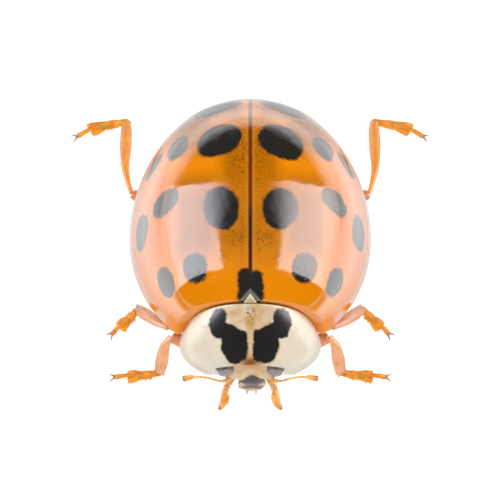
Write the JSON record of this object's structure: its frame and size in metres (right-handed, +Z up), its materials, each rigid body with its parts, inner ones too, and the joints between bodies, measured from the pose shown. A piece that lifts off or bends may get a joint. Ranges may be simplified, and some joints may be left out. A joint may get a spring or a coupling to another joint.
{
  "type": "harlequin ladybird model",
  "caption": "Still life-size ladybird standing on its feet: domed spotted orange wing cases, cream and black pronotum, short legs, clubbed feelers.",
  "frame": {"origin": "on the floor, under the middle of the animal's length and width, feelers and feet included", "axes": "+Z up from the floor, -Y towards the head, +Y towards the tail, +X towards the animal's left"},
  "size_m": [0.009, 0.0079, 0.0041],
  "materials": {
    "shell": "glossy orange chitin with black spots",
    "cream": "glossy cream chitin with black marks",
    "black": "glossy black chitin",
    "limb": "satin orange chitin with fine hairs",
    "mouth": "satin brown chitin",
    "eye": "dark faceted eye"
  },
  "bodies": {
    "root": {"elytron_left": "shell", "elytron_right": "shell", "scutellum": "cream", "pronotum": "cream", "head": "cream", "thorax": "black", "abdomen": "black", "prosternum": "black", "labrum": "black", "mouthparts": "mouth", "eye_left": "eye", "eye_right": "eye", "palp_left": "limb", "palp_right": "limb", "antenna_left": "limb", "antenna_right": "limb", "femur_front_left": "limb", "tibia_front_left": "limb", "tarsus_front_left": "limb", "femur_front_right": "limb", "tibia_front_right": "limb", "tarsus_front_right": "limb", "femur_mid_left": "limb", "tibia_mid_left": "limb", "tarsus_mid_left": "limb", "femur_mid_right": "limb", "tibia_mid_right": "limb", "tarsus_mid_right": "limb", "femur_hind_left": "limb", "tibia_hind_left": "limb", "tarsus_hind_left": "limb", "femur_hind_right": "limb", "tibia_hind_right": "limb", "tarsus_hind_right": "limb"}
  },
  "joints": []
}
